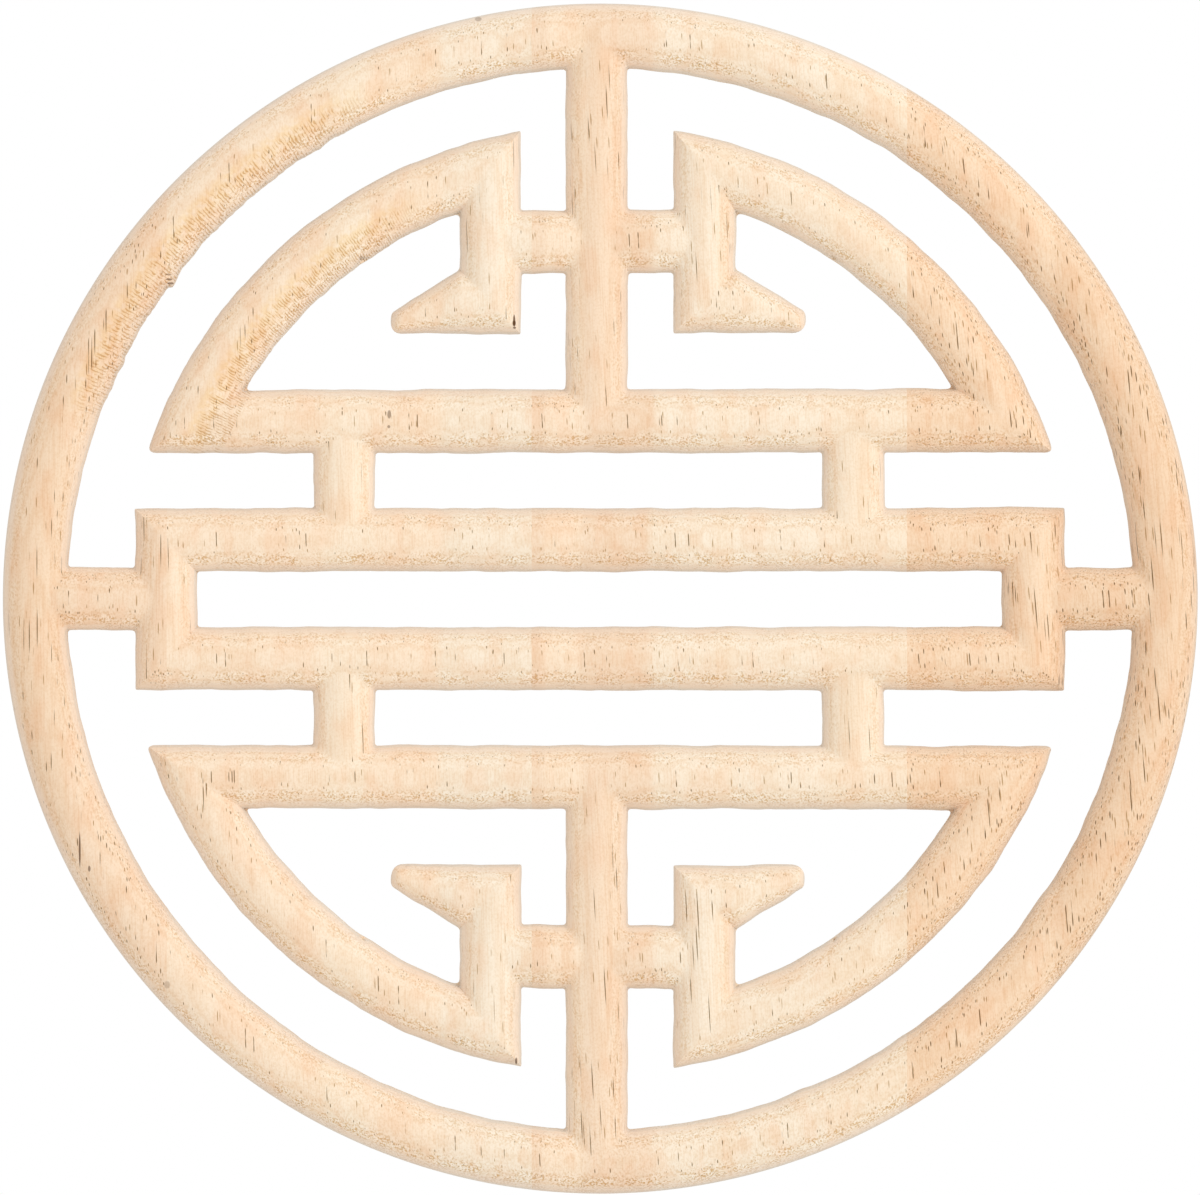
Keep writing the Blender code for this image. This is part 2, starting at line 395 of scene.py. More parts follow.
def left_normals(points):
    """At each point, the way into the wood, stretched where the edge bends."""
    ahead = np.roll(points, -1, 0) - points
    length = np.linalg.norm(ahead, axis=1, keepdims=True)
    normal = np.stack([-ahead[:, 1], ahead[:, 0]], 1) / length
    real = np.array([not on_cut(a, b) for a, b in zip(points, np.roll(points, -1, 0))])
    normal[~real] = 0.0
    summed = normal + np.roll(normal, 1, 0)
    size = np.linalg.norm(summed, axis=1, keepdims=True)
    both = real & np.roll(real, 1)
    stretch = np.where(both[:, None], 2 / np.maximum(size, 1.2), 1.0)
    summed[points == 0.0] = 0.0
    unit = summed / np.maximum(np.linalg.norm(summed, axis=1, keepdims=True), 1e-9)
    return unit * stretch, real


def distance_to_edges(points, starts, ends):
    """Each point's distance to the nearest of the given edges."""
    along = ends - starts
    length = (along ** 2).sum(1)
    nearest = np.full(len(points), np.inf)
    for block in range(0, len(points), 2000):
        p = points[block:block + 2000, None, :]
        share = (((p - starts) * along).sum(2) / length).clip(0, 1)
        gap = p - starts - share[..., None] * along
        nearest[block:block + 2000] = np.sqrt((gap ** 2).sum(2).min(1))
    return nearest


def row_distances():
    """How far each row of points lies from the edge, closer together where the crown is steep."""
    return [HALF_WIDTH * (1 - math.cos(math.pi / 2 * row / CROWN_ROWS)) for row in range(1, CROWN_ROWS)]


def mitre_lines():
    """The lines along which two stretches of one bar meet, from outer corner to inner corner."""
    across = [0.0] + row_distances() + [HALF_WIDTH]
    across += [BAR_WIDTH - t for t in reversed(across[:-1])]
    near, base_low = HOOK_X - HALF_POST, BASE_Z - HALF_WIDTH
    bar_high, end_out = RECTANGLE_Z + HALF_WIDTH, RECTANGLE_HALF_LENGTH + HALF_POST
    slim = POST_WIDTH / BAR_WIDTH

    def other_side(t, side):
        """The second side of a corner that lies so far inside the lune's outer edge."""
        return math.sqrt((LUNE_OUTER - t) ** 2 - side ** 2)

    return [
        [(end_out - t * slim, bar_high - t) for t in across],
        [(near + t * slim, TAIL_EDGE_Z + t) for t in across],
        [(other_side(t, base_low + t), base_low + t) for t in across],
        [(near + t * slim, other_side(t, near + t * slim)) for t in across],
    ]


def ridge_lines():
    """The centre lines of all bars in the quarter."""
    tip_x = TAIL_TIP_X - TAIL_TIP_REACH
    tail_z = TAIL_EDGE_Z + HALF_WIDTH
    tip_z = tail_z - TAIL_SLOPE * (tip_x - HOOK_X - HALF_POST) / 2
    corner_angle, hook_angle = math.asin(BASE_Z / LUNE_RADIUS), math.acos(HOOK_X / LUNE_RADIUS)
    lune = arc(LUNE_RADIUS, corner_angle, hook_angle, False)
    runs = [
        arc(RING_CENTRE, 0.0, math.pi / 2, False),
        [(0, BASE_Z)] + lune + [(HOOK_X, tail_z), (HOOK_X + HALF_POST, tail_z), (tip_x, tip_z)],
        [(0, RECTANGLE_Z), (RECTANGLE_HALF_LENGTH, RECTANGLE_Z), (RECTANGLE_HALF_LENGTH, 0)],
        [(0, BASE_Z), (0, RING_CENTRE)],
        [(0, HOOK_LINK_Z), (HOOK_X, HOOK_LINK_Z)],
        [(RECTANGLE_HALF_LENGTH, 0), (RING_CENTRE, 0)],
        [(STRUT_X, RECTANGLE_Z), (STRUT_X, BASE_Z)],
    ]
    lines = []
    for run in runs:
        line = []
        for (ax, az), (bx, bz) in zip(run, run[1:]):
            count = steps_between((ax, az), (bx, bz))
            line += [(ax + (bx - ax) * i / count, az + (bz - az) * i / count) for i in range(count)]
        lines.append(line + [run[-1]])
    return lines


def inside_wood(points, outlines):
    """True for each point that lies inside an odd number of the outlines."""
    inside = np.zeros(len(points), bool)
    for outline in outlines:
        for (ax, az), (bx, bz) in zip(outline, np.roll(outline, -1, 0)):
            crosses = (az > points[:, 1]) != (bz > points[:, 1])
            if crosses.any():
                x = ax + (points[:, 1] - az) * (bx - ax) / (bz - az if bz != az else 1.0)
                inside ^= crosses & (points[:, 0] < x)
    return inside


class Drawing:
    """Points and edges gathered for one triangulation."""

    def __init__(self):
        self.points, self.edges = [], []

    def add(self, line, joined):
        """Adds a line of points, with an edge after each point that is joined to the next."""
        start = len(self.points)
        self.points += [tuple(p) for p in line]
        self.edges += [(start + i, start + i + 1) for i in range(len(line) - 1) if joined[i]]
        return start


def triangulated(outlines, with_rows):
    """The quarter's flat face, as points and triangles, with or without its inner rows."""
    drawing = Drawing()
    starts, ends = [], []
    for outline in outlines:
        start = drawing.add(outline, [True] * len(outline))
        drawing.edges.append((start + len(outline) - 1, start))
        following = np.roll(outline, -1, 0)
        real = left_normals(outline)[1]
        starts.append(outline[real])
        ends.append(following[real])
    starts, ends = np.concatenate(starts), np.concatenate(ends)
    if with_rows:
        add_rows(drawing, outlines, starts, ends)
        add_filler(drawing, outlines, starts, ends)
    coordinates = [Vector(p) / MM for p in drawing.points]
    points, _, faces, *_ = delaunay_2d_cdt(coordinates, drawing.edges, [], 0, 1e-5)
    points = np.array([tuple(p) for p in points]) * MM
    faces = np.array(faces)
    faces = faces[inside_wood(points[faces].mean(1), outlines)]
    return points, faces


def add_rows(drawing, outlines, starts, ends):
    """Lines where two stretches of a bar meet, and points in rows that follow the edges."""
    mitre_starts, mitre_ends = [], []
    for line in mitre_lines():
        line = np.array(line)
        clear = distance_to_edges(line, starts, ends) > FIRST_ROW / 2
        line = line[inside_wood(line, outlines) & clear]
        drawing.add(line, [True] * len(line))
        mitre_starts.append(line[:-1])
        mitre_ends.append(line[1:])
    mitre_starts, mitre_ends = np.concatenate(mitre_starts), np.concatenate(mitre_ends)

    def add_free(points, gap):
        """Adds those points that keep the gap to all that is drawn already."""
        known = known_points(drawing)
        clear = distance_to_edges(points, mitre_starts, mitre_ends) > gap / 2
        free = []
        for (x, z), is_clear in zip(points, clear):
            nearest = known.find((x, z, 0.0))[2]
            if nearest > (WELD if on_cut((x, z), (x, z)) else gap) and is_clear:
                free.append((x, z))
        drawing.add(free, [False] * len(free))

    for line in ridge_lines():
        add_free(np.array(line), RIDGE_GAP)
    for distance in row_distances():
        for outline in outlines:
            normals = left_normals(outline)[0]
            row = outline + normals * distance
            row[np.abs(row) < WELD] = 0.0
            kept = distance_to_edges(row, starts, ends) > distance - 0.01 * MM
            kept &= (row >= 0).all(1) & (np.linalg.norm(normals, axis=1) > 0)
            add_free(row[kept], ROW_GAP + ROW_GAP_GROWTH * distance)


def known_points(drawing):
    """The drawing's points so far, ready to be asked which one is nearest."""
    tree = KDTree(len(drawing.points))
    for i, (x, z) in enumerate(drawing.points):
        tree.insert((x, z, 0.0), i)
    tree.balance()
    return tree


def add_filler(drawing, outlines, starts, ends):
    """Points for the places that no row reaches, where the crowns of several bars meet."""
    count = int(RING_RADIUS / FILLER_STEP) + 1
    column, row = np.meshgrid(np.arange(count), np.arange(count))
    shift = 0.5 * (row % 2)
    grid = np.stack([(column + 0.25 + shift) * FILLER_STEP, (row + 0.4) * FILLER_STEP], 2).reshape(-1, 2)
    grid = grid[inside_wood(grid, outlines)]
    grid = grid[distance_to_edges(grid, starts, ends) > FILLER_DEPTH]
    known = known_points(drawing)
    free = [p for p in grid if known.find((p[0], p[1], 0.0))[2] > FILLER_GAP]
    drawing.add(free, [False] * len(free))


# The blank: the drawing mirrored to the whole, with its walls and its flat back

def quarter_blank(torn):
    """Points, their lift from the back (0) to the front (1), and faces of one quarter."""
    outlines = [spaced(rounded(outline)) for outline in quarter_outlines(torn)]
    plan, faces = triangulated(outlines, True)
    points = [(x, z, 1.0) for x, z in plan]
    faces = [tuple(face) for face in faces]
    for outline in outlines:
        real = left_normals(outline)[1]
        count = len(outline)
        start = len(points)
        for row in range(WALL_ROWS + 1):
            points += [(x, z, 1 - row / WALL_ROWS) for x, z in outline]
        for row in range(WALL_ROWS):
            for i in range(count):
                if real[i]:
                    a, b = start + row * count + i, start + row * count + (i + 1) % count
                    faces.append((a, b, b + count, a + count))
    plan, back = triangulated(outlines, False)
    start = len(points)
    points += [(x, z, 0.0) for x, z in plan]
    faces += [tuple(start + i for i in face) for face in back]
    return points, faces


def make_blank():
    """The uncarved rosette, as a closed mesh whose points know how far to the front they lie."""
    even, torn = quarter_blank(False), quarter_blank(True)
    shape = bmesh.new()
    lift = shape.verts.layers.float.new("lift")
    for side in (1, -1):
        for half in (1, -1):
            points, faces = torn if (side, half) == (-1, 1) else even
            corners = []
            for x, z, front in points:
                corner = shape.verts.new((x * side, -front * WALL_HEIGHT, z * half))
                corner[lift] = front
                corners.append(corner)
            for face in faces:
                shape.faces.new([corners[i] for i in face])
    bmesh.ops.remove_doubles(shape, verts=shape.verts, dist=WELD)
    bmesh.ops.dissolve_degenerate(shape, edges=shape.edges, dist=WELD / 10)
    bmesh.ops.recalc_face_normals(shape, faces=shape.faces)
    for face in shape.faces:
        face.smooth = True
    mesh = bpy.data.meshes.new("carved_rosette")
    shape.to_mesh(mesh)
    shape.free()
    blank = bpy.data.objects.new("carved_rosette", mesh)
    bpy.context.scene.collection.objects.link(blank)
    return blank


# Sums written as nodes

class Amount:
    """A number that a node tree works out, for use in ordinary sums."""

    def __init__(self, tree, socket):
        self.tree, self.socket = tree, socket

    def sum(self, operation, *others, clamp=False):
        """The result of one kind of sum with this amount and the others."""
        node = self.tree.nodes.new("ShaderNodeMath")
        node.operation = operation
        node.use_clamp = clamp
        for socket, item in zip(node.inputs, (self, *others)):
            if isinstance(item, Amount):
                self.tree.links.new(item.socket, socket)
            else:
                socket.default_value = item
        return Amount(self.tree, node.outputs[0])

    def __add__(self, other):
        return self.sum("ADD", other)

    def __sub__(self, other):
        return self.sum("SUBTRACT", other)

    def __mul__(self, other):
        return self.sum("MULTIPLY", other)

    def __truediv__(self, other):
        return self.sum("DIVIDE", other)

    def __abs__(self):
        return self.sum("ABSOLUTE")

    def power(self, other):
        return self.sum("POWER", other)

    def least(self, other):
        return self.sum("MINIMUM", other)

    def most(self, other):
        return self.sum("MAXIMUM", other)

    def above(self, other):
        return self.sum("GREATER_THAN", other)

    def below(self, other):
        return self.sum("LESS_THAN", other)

    def between(self, low, high):
        return self.above(low) * self.below(high)

    def root(self):
        """The square root, or 0 for an amount below 0."""
        return self.most(0.0).sum("SQRT")

    def or_else(self, other, share):
        """This amount where the share is 0, and the other one where it is 1."""
        return self + (other - self) * share

    def clamp(self):
        """This amount, kept between 0 and 1."""
        return self.sum("ADD", 0.0, clamp=True)

    def towards(self, goal, share):
        """This amount where the share is 0, and the plain number given where it is 1."""
        return self + (self * -1 + goal) * share

    def fade(self, low, high):
        """0 at low and 1 at high, with a smooth change between."""
        node = self.tree.nodes.new("ShaderNodeMapRange")
        node.interpolation_type = "SMOOTHSTEP"
        self.tree.links.new(self.socket, node.inputs["Value"])
        node.inputs["From Min"].default_value = low
        node.inputs["From Max"].default_value = high
        return Amount(self.tree, node.outputs["Result"])


# The carving

CARVING_SIZES = {
    "Wall Height": WALL_HEIGHT,
    "Crown Rise": CROWN_RISE,
    "Bar Width": BAR_WIDTH,
    "Post Width": POST_WIDTH,
    "Link Width": LINK_WIDTH,
    "Ring Centre": RING_CENTRE,
    "Lune Radius": LUNE_RADIUS,
    "Base Height": BASE_Z,
    "Rectangle Height": RECTANGLE_Z,
    "Rectangle Half Length": RECTANGLE_HALF_LENGTH,
    "Strut Place": STRUT_X,
    "Hook Place": HOOK_X,
    "Hook Link Height": HOOK_LINK_Z,
    "Tail Edge": TAIL_EDGE_Z,
    "Tail Tip": TAIL_TIP_X,
    "Valley Softness": VALLEY_SOFTNESS,
    "Outline Wander": OUTLINE_WANDER,
    "Centre Drift": CENTRE_DRIFT,
    "Pattern Sink": PATTERN_SINK,
    "Fan": FAN,
    "Torn Edge": TORN_EDGE,
}


class Carving:
    """The node tree that raises the crowns from the flat drawing."""

    def __init__(self, material):
        self.tree = tree = bpy.data.node_groups.new("raise_the_crowns", "GeometryNodeTree")
        self.identifiers = {}
        tree.interface.new_socket("Geometry", in_out="INPUT", socket_type="NodeSocketGeometry")
        for name in CARVING_SIZES:
            socket = tree.interface.new_socket(name, in_out="INPUT", socket_type="NodeSocketFloat")
            self.identifiers[name] = socket.identifier
        tree.interface.new_socket("Geometry", in_out="OUTPUT", socket_type="NodeSocketGeometry")
        self.inputs = tree.nodes.new("NodeGroupInput")
        place = self.add("GeometryNodeInputPosition")
        parts = self.add("ShaderNodeSeparateXYZ", Vector=place.outputs[0])
        self.x, self.z = (Amount(tree, parts.outputs[axis]) for axis in ("X", "Z"))
        self.radius = (self.x * self.x + self.z * self.z).root()
        front = self.add("GeometryNodeInputNamedAttribute", Name="lift")
        self.front = Amount(tree, front.outputs["Attribute"])
        placed = self.moved(place.outputs[0], self.height())
        drawing = self.inputs.outputs["Geometry"]
        shape = self.add("GeometryNodeSetPosition", Geometry=drawing, Position=placed)
        real = self.add("GeometryNodeRealizeInstances", Geometry=shape.outputs[0])
        finished = self.add("GeometryNodeSetMaterial", Geometry=real.outputs[0], Material=material)
        result = tree.nodes.new("NodeGroupOutput")
        tree.links.new(finished.outputs[0], result.inputs[0])

    def add(self, kind, **values):
        """A new node with its sockets linked or set."""
        node = self.tree.nodes.new(kind)
        for name, value in values.items():
            socket = node.inputs[name.replace("_", " ")]
            if isinstance(value, Amount):
                value = value.socket
            if isinstance(value, bpy.types.NodeSocket):
                self.tree.links.new(value, socket)
            else:
                socket.default_value = value
        return node

    def size(self, name):
        """One of the named sizes that the tree is given."""
        return Amount(self.tree, self.inputs.outputs[name])

    def crown(self, across, half, rise, beyond=None):
        """The height of a bar's crown, from how far a point lies off its centre line and past its end."""
        share = across / half
        left = share * share * -1 + 1
        if beyond is not None:
            past = beyond.most(0.0) / NOSE
            left = left - past * past
        return left.root() * rise

    def joined(self, first, second):
        """The higher of two crowns, with the crease between them filled a little."""
        low = first.least(second) / self.size("Crown Rise")
        soft = low * self.size("Valley Softness") + WELD / 100
        near = (soft - abs(first - second)).most(0.0) / soft
        return first.most(second) + near * near * soft * 0.25

    def lune(self, x, z):
        """The base, arc, post and tail of a lune, which one crown follows."""
        half, post = self.size("Bar Width") * 0.5, self.size("Post Width") * 0.5
        rise = self.size("Crown Rise")
        to_arc = self.radius - self.size("Lune Radius")
        low = (self.size("Base Height") - z).most(to_arc)
        to_post = (self.size("Hook Place") - x) / post * half
        tail_line = self.size("Tail Edge") + half
        foot = self.size("Hook Place") + post
        hook = to_arc.most(to_post).most(tail_line - z)
        on_tail_side = x.above(foot)
        high = hook.or_else(to_arc, on_tail_side)
        upper = z.above(UPPER_PART_Z)
        body = self.crown(low.or_else(high, upper), half, rise)
        narrowing = (half - (x - foot) * (TAIL_SLOPE / 2)).most(SLIMMEST_TAIL)
        tail = self.crown(z - self.size("Tail Edge") - narrowing, narrowing, rise)
        tip = (x - (self.size("Tail Tip") - TAIL_TIP_REACH)).most(0.0) / TAIL_TIP_REACH
        tail = tail * (narrowing / half).power(TAIL_FLATTENING) * (tip * tip * -1 + 1).root()
        in_tail = on_tail_side * z.between(UPPER_PART_Z, TAIL_TOP_Z) * x.below(TAIL_TIP_X + HALF_WIDTH)
        return body.or_else(tail, in_tail)

    def height(self):
        """How high the wood stands over its back, at any place of the drawing."""
        x, z = abs(self.x), abs(self.z)
        half, post = self.size("Bar Width") * 0.5, self.size("Post Width") * 0.5
        link, rise = self.size("Link Width") * 0.5, self.size("Crown Rise")
        low = rise - LINK_DROP
        ring, base = self.size("Ring Centre"), self.size("Base Height")
        hook, link_z = self.size("Hook Place"), self.size("Hook Link Height")
        rectangle, bar_z = self.size("Rectangle Half Length"), self.size("Rectangle Height")
        frame_bar = ((x - rectangle) / post * half).most(z - bar_z)
        crowns = [
            self.crown(self.radius - ring, half, rise),
            self.lune(x, z),
            self.crown(frame_bar, half, rise),
            self.crown(x, post, rise - CENTRE_BAR_DROP, (base - z).most(z - ring)),
            self.crown(z - link_z, link, low, x - hook),
            self.crown(x - self.size("Strut Place"), post, low, (bar_z - z).most(z - base)),
            self.crown(z, link, low, (rectangle - x).most(x - ring)),
        ]
        total = crowns[0]
        for crown in crowns[1:]:
            total = self.joined(total, crown)
        return total + self.size("Wall Height")

    def unevenness(self, place, wave, detail, aside):
        """A smooth random amount between about -0.5 and 0.5 that is the same through the thickness."""
        flat = self.tree.nodes.new("ShaderNodeVectorMath")
        flat.operation = "MULTIPLY_ADD"
        self.tree.links.new(place, flat.inputs[0])
        flat.inputs[1].default_value = (1, 0, 1)
        flat.inputs[2].default_value = (aside, CARVING_SEED, aside)
        noise = self.add("ShaderNodeTexNoise", Vector=flat.outputs[0], Scale=1 / wave, Detail=detail)
        return Amount(self.tree, noise.outputs[0]) - 0.5

    def torn(self, place):
        """How far the cutter tore the edges, in its own stretch of each: outwards from the centre."""
        toward_left = self.z.sum("ARCTAN2", self.x * -1)
        upper_left = toward_left.fade(*TEAR_START) * toward_left.fade(*TEAR_END)
        ring_edge = abs(self.radius - RING_INNER).fade(TEAR_DEPTH, 0)
        lune_edge = abs(self.radius - LUNE_INNER).fade(TEAR_DEPTH, 0)
        ragged = self.unevenness(place, TORN_WAVE, detail=2.0, aside=5.0)
        ragged = ragged + self.unevenness(place, FRAY_WAVE, detail=1.0, aside=3.0) * FRAY
        burr = toward_left.fade(BURR_FOOT, BURR_PEAK) * toward_left.fade(BURR_END, BURR_PEAK) * ring_edge
        torn = ragged * upper_left * (ring_edge + lune_edge * ARC_TEAR_SHARE) * self.size("Torn Edge")
        return torn - burr * BURR

    def moved(self, place, height):
        """Each point's final place, with the slight drift and unevenness of the real cut."""
        x, z, radius = self.x, self.z, self.radius
        reach = (abs(x) / RING_RADIUS * -1 + 1).most(0.0).power(DRIFT_POWER)
        near_post = abs(x).fade(*POST_ZONE)
        inside = radius.fade(*RING_ZONE)
        held = radius.fade(*PATTERN_ZONE)
        pattern = held + (inside - held) * near_post
        wander_x = self.unevenness(place, OUTLINE_WAVE, detail=2.0, aside=0.0) * self.size("Outline Wander")
        wander_z = self.unevenness(place, OUTLINE_WAVE, detail=2.0, aside=9.0) * self.size("Outline Wander")
        inner = radius.fade(RING_RADIUS, RING_RADIUS - HALF_WIDTH)
        torn = self.torn(place) / radius
        new_x = x - reach * self.size("Centre Drift") * pattern + wander_x * inner + torn * x
        fan = x * self.size("Fan") * pattern + 1
        sunk = z * fan - self.size("Pattern Sink") * pattern
        new_z = (sunk + wander_z * inner + torn * z) * HEIGHT_SQUEEZE
        depth = height * self.front * -1
        return self.add("ShaderNodeCombineXYZ", X=new_x, Y=depth, Z=new_z).outputs[0]


def carve(blank, material):
    """Runs the carving on the blank and keeps the result as a plain mesh."""
    carving = Carving(material)
    modifier = blank.modifiers.new("carving", "NODES")
    modifier.node_group = carving.tree
    for name, value in CARVING_SIZES.items():
        modifier[carving.identifiers[name]] = value
    evaluated = blank.evaluated_get(bpy.context.evaluated_depsgraph_get())
    mesh = bpy.data.meshes.new_from_object(evaluated)
    mesh.name = "carved_rosette"
    blank.modifiers.remove(modifier)
    blank.data = mesh
    mesh.attributes.remove(mesh.attributes["lift"])
    mesh.set_sharp_from_angle(angle=SHARP_ANGLE)
    return blank


# The wood

class Wood:
    """The finish of the raw wood, as a solid pattern with its grain along the height, with painted light
    and shade on its steep faces.
    """

    def __init__(self):
        self.material = bpy.data.materials.new("raw_pale_wood")
        self.material.use_nodes = True
        self.tree = self.material.node_tree
        self.shader = self.tree.nodes["Principled BSDF"]
        coordinates = self.tree.nodes.new("ShaderNodeTexCoord")
        parts = self.tree.nodes.new("ShaderNodeSeparateXYZ")
        self.tree.links.new(coordinates.outputs["Object"], parts.inputs[0])
        self.place = [Amount(self.tree, side) / MM for side in parts.outputs]
        self.x, self.y, self.z = self.place
        facing = self.tree.nodes.new("ShaderNodeSeparateXYZ")
        self.tree.links.new(coordinates.outputs["Normal"], facing.inputs[0])
        self.to_side, to_back, self.up = (Amount(self.tree, side) for side in facing.outputs)
        self.to_front = to_back * -1

    def at(self, x, y, z):
        """A place for a texture, from three amounts."""
        node = self.tree.nodes.new("ShaderNodeCombineXYZ")
        for socket, amount in zip(node.inputs, (x, y, z)):
            self.tree.links.new(amount.socket, socket)
        return node.outputs[0]

    def scaled(self, sizes):
        """The texture place in the wood, with cells of the given three sizes in millimetres."""
        return self.at(*(amount / size for amount, size in zip(self.place, sizes)))

    def along_grain(self, across, along, shift=0.0):
        """The same along the grain of each stave, with cells of the given width and length."""
        other_wood = self.stave * STAVE_SHIFT
        x, y = (self.x + self.z * self.lean) / across, self.y / across
        return self.at(x + shift, y + other_wood, self.z / along + other_wood)

    def noise(self, place, detail=2.0):
        """A smooth random amount from 0 to 1, mostly near 0.5."""
        node = self.tree.nodes.new("ShaderNodeTexNoise")
        node.inputs["Scale"].default_value = 1.0
        node.inputs["Detail"].default_value = detail
        self.tree.links.new(place, node.inputs["Vector"])
        return Amount(self.tree, node.outputs[0])

    def cells(self, place):
        """The distance to the nearest cell's middle, and a chance from 0 to 1 for each cell."""
        node = self.tree.nodes.new("ShaderNodeTexVoronoi")
        node.inputs["Scale"].default_value = 1.0
        self.tree.links.new(place, node.inputs["Vector"])
        chance = self.tree.nodes.new("ShaderNodeSeparateColor")
        self.tree.links.new(node.outputs["Color"], chance.inputs[0])
        return Amount(self.tree, node.outputs["Distance"]), Amount(self.tree, chance.outputs[0])

    def mix(self, first, second, share):
        """The first colour where the share is 0, and the second where it is 1."""
        node = self.tree.nodes.new("ShaderNodeMix")
        node.data_type = "RGBA"
        self.tree.links.new(share.socket, node.inputs["Factor"])
        for name, colour in (("A", first), ("B", second)):
            socket = next(s for s in node.inputs if s.name == name and s.type == "RGBA")
            if isinstance(colour, bpy.types.NodeSocket):
                self.tree.links.new(colour, socket)
            else:
                socket.default_value = (*colour, 1)
        return next(s for s in node.outputs if s.type == "RGBA")

    def tinted(self, colour, tint, share):
        """The colour multiplied by the tint's three factors, as far as the share goes."""
        parts = self.tree.nodes.new("ShaderNodeSeparateColor")
        self.tree.links.new(colour, parts.inputs[0])
        joined = self.tree.nodes.new("ShaderNodeCombineColor")
        for channel, factor in enumerate(tint):
            changed = Amount(self.tree, parts.outputs[channel]) * (share * (factor - 1) + 1)
            self.tree.links.new(changed.socket, joined.inputs[channel])
        return joined.outputs[0]

    def staves(self):
        """The tone and the pores' share of each band of wood, from left to right."""
        wander = self.noise(self.scaled(BAND_WANDER_SIZE)) - 0.5
        self.stave = self.x.above(SEAMS[0]) + self.x.above(SEAMS[1]) + self.x.above(SEAMS[2])
        self.lean = self.stave * GRAIN_LEAN
        tone, self.pore_share = FIRST_TONE, self.x * 0.0 + FIRST_PORES
        for edge, tone_after, pores in BANDS:
            soft = SEAM_SOFTNESS if edge in SEAMS else BAND_SOFTNESS
            place = self.x if edge in SEAMS else self.x + wander * BAND_WANDER
            step = place.fade(edge - soft, edge + soft)
            tone = self.mix(tone, tone_after, step)
            self.pore_share = self.pore_share.towards(pores, step)
        return tone

    def finish(self):
        """The whole finish, from the staves' tones to the voids, with painted light on the steep flanks and
        painted shade on the brinks and undersides, and its fine relief.
        """
        colour = self.staves()
        slope = abs(self.to_front) * -1 + 1
        # edge is where the painted light sets in, and brink is where the painted shade sets in
        edge, brink, wall = (slope.fade(*turn) for turn in (EDGE_LIGHT_TURN, BRINK_TURN, WALL_TURN))
        calm = brink * (wall * 0.5 - 0.7) + 1
        end_grain = abs(self.up).fade(*END_GRAIN_TURN) * calm
        side_grain = abs(self.to_side).fade(*SIDE_GRAIN_TURN) * calm

        figure = self.noise(self.along_grain(*FIGURE_SIZE)) - 0.5
        colour = self.tinted(colour, FIGURE_TINT, (figure * 0.9 + 0.02).clamp())
        rosy = self.noise(self.scaled(ROSY_SIZE)).fade(0.46, 0.66)
        colour = self.tinted(colour, ROSY_TINT, rosy)
        fibre = self.noise(self.along_grain(*FIBRE_SIZE))
        strength = (end_grain * -0.5 + 0.9) * (self.pore_share * 0.6 + 0.5).clamp()
        colour = self.tinted(colour, FIBRE_TINT, fibre.fade(0.48, 0.66) * strength)

        # Painted shade is part of the specks: there are more of them on the undersides and towards the
        # bottom
        spots_and_shade, gaps = self.speckle(end_grain, side_grain)
        colour = self.tinted(colour, SPOT_AND_SHADE_TINT, spots_and_shade)
        colour = self.tinted(colour, GAP_TINT, gaps)
        colour = self.tinted(colour, GROWTH_TINT, self.growth(figure))
        long_pores, short_pores = self.all_pores(end_grain)
        colour = self.tinted(colour, LONG_PORE_TINT, long_pores)
        colour = self.tinted(colour, SHORT_PORE_TINT, short_pores)

        # Painted light: the steep flanks are lifted towards a paler tone, less so in staves with many pores
        # and on the walls themselves
        painted_edge_light = edge * (self.pore_share * -0.9 + 0.86) * (wall * -0.45 + 1)
        colour = self.mix(colour, EDGE_LIGHT_TONE, painted_edge_light)
        # Painted shade on the brinks, the steepest faces next to the walls
        colour = self.tinted(colour, BRINK_SHADE_TINT, brink)
        ribs, burnish = self.cutter_marks()
        colour = self.tinted(colour, BURNISH_TINT, burnish)
        colour = self.tinted(colour, RIB_TINT, ribs)
        colour = self.tinted(colour, VOID_TINT, self.voids())
        self.tree.links.new(colour, self.shader.inputs["Base Color"])
        self.shader.inputs["Roughness"].default_value = WOOD_ROUGHNESS
        self.shader.inputs["Specular IOR Level"].default_value = WOOD_GLOSS
        self.bump(fibre * FIBRE_HEIGHT + ribs * RIB_HEIGHT + spots_and_shade * SPOT_HEIGHT)
        return self.material

    def speckle(self, end_grain, side_grain):
        """The open fibre ends where the flanks cut the grain: dark specks and pale gaps, with painted shade
        that makes them stronger on the undersides and towards the bottom.
        """
        # Painted shade: the faces that turn down get more speckle
        underside_shade = (self.up * -1).fade(*UNDERSIDE_SHADE_TURN)
        grit = self.noise(self.scaled(GRIT_SIZE))
        patches = self.noise(self.scaled(PATCH_SIZE), 1.0).fade(0.3, 0.55)
        stipple_and_shade = (end_grain * (underside_shade * 0.45 + 0.55) + side_grain * 0.35) * patches
        # Painted shade: a little more speckle towards the bottom
        stipple_and_shade = stipple_and_shade + self.z.fade(*BOTTOM_SHADE_Z) * 0.08 + 0.2
        return grit.fade(0.51, 0.62) * stipple_and_shade, grit.fade(0.47, 0.38) * stipple_and_shade

    def growth(self, figure):
        """The layers of growth, which the rounded crowns cut into arches."""
        layer = self.y / GROWTH_DEPTH + self.z * (self.stave * -0.03 + 0.05) + figure * GROWTH_SWAY
        return (layer * math.tau).sum("SINE").fade(-0.2, 1.0)

